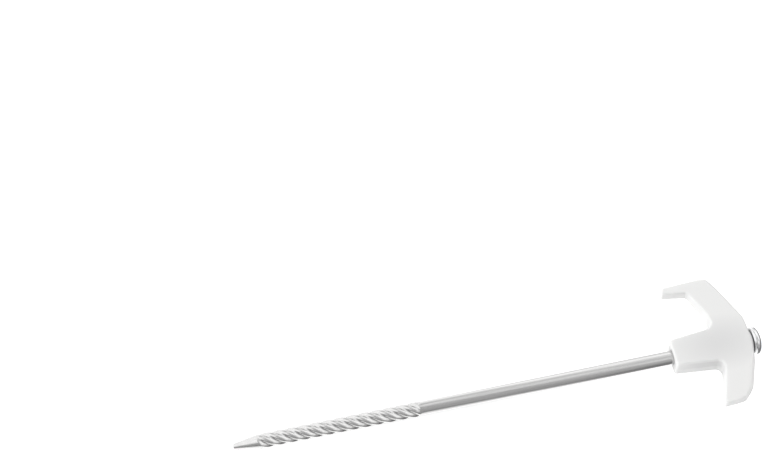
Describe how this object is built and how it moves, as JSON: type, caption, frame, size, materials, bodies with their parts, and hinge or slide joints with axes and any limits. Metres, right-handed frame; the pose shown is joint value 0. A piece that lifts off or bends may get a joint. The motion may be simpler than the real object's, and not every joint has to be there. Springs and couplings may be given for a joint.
{
  "type": "tent stake",
  "caption": "Screw-in tent stake: steel pin with a right-hand spiral and blunt point, a turning T-shaped guy-line hook with one lipped arm, and a domed cross-recess drive screw.",
  "frame": {"origin": "centre of the blunt point's end face, on the pin's axis", "axes": "+X along the pin from the point to the drive screw, +Y towards the arm with the retaining lip, +Z out of the hook's front face; the stake lies flat as when set down on a table"},
  "size_m": [0.2539, 0.0637, 0.013],
  "materials": {
    "zinc_steel": "drawn wire, zinc plated, satin with fine lengthwise lines",
    "bright_steel": "cold-headed and bright nickel plated",
    "milky_plastic": "moulded, milky translucent, satin"
  },
  "bodies": {
    "pin": {"spiral_pin": "zinc_steel", "drive_screw": "bright_steel"},
    "hook": {"guy_line_hook": "milky_plastic"}
  },
  "joints": [
    {"name": "hook_swivel", "type": "hinge", "parent": "pin", "child": "hook", "pos_m": [0.23, 0, 0], "axis": [1, 0, 0], "continuous": true}
  ]
}
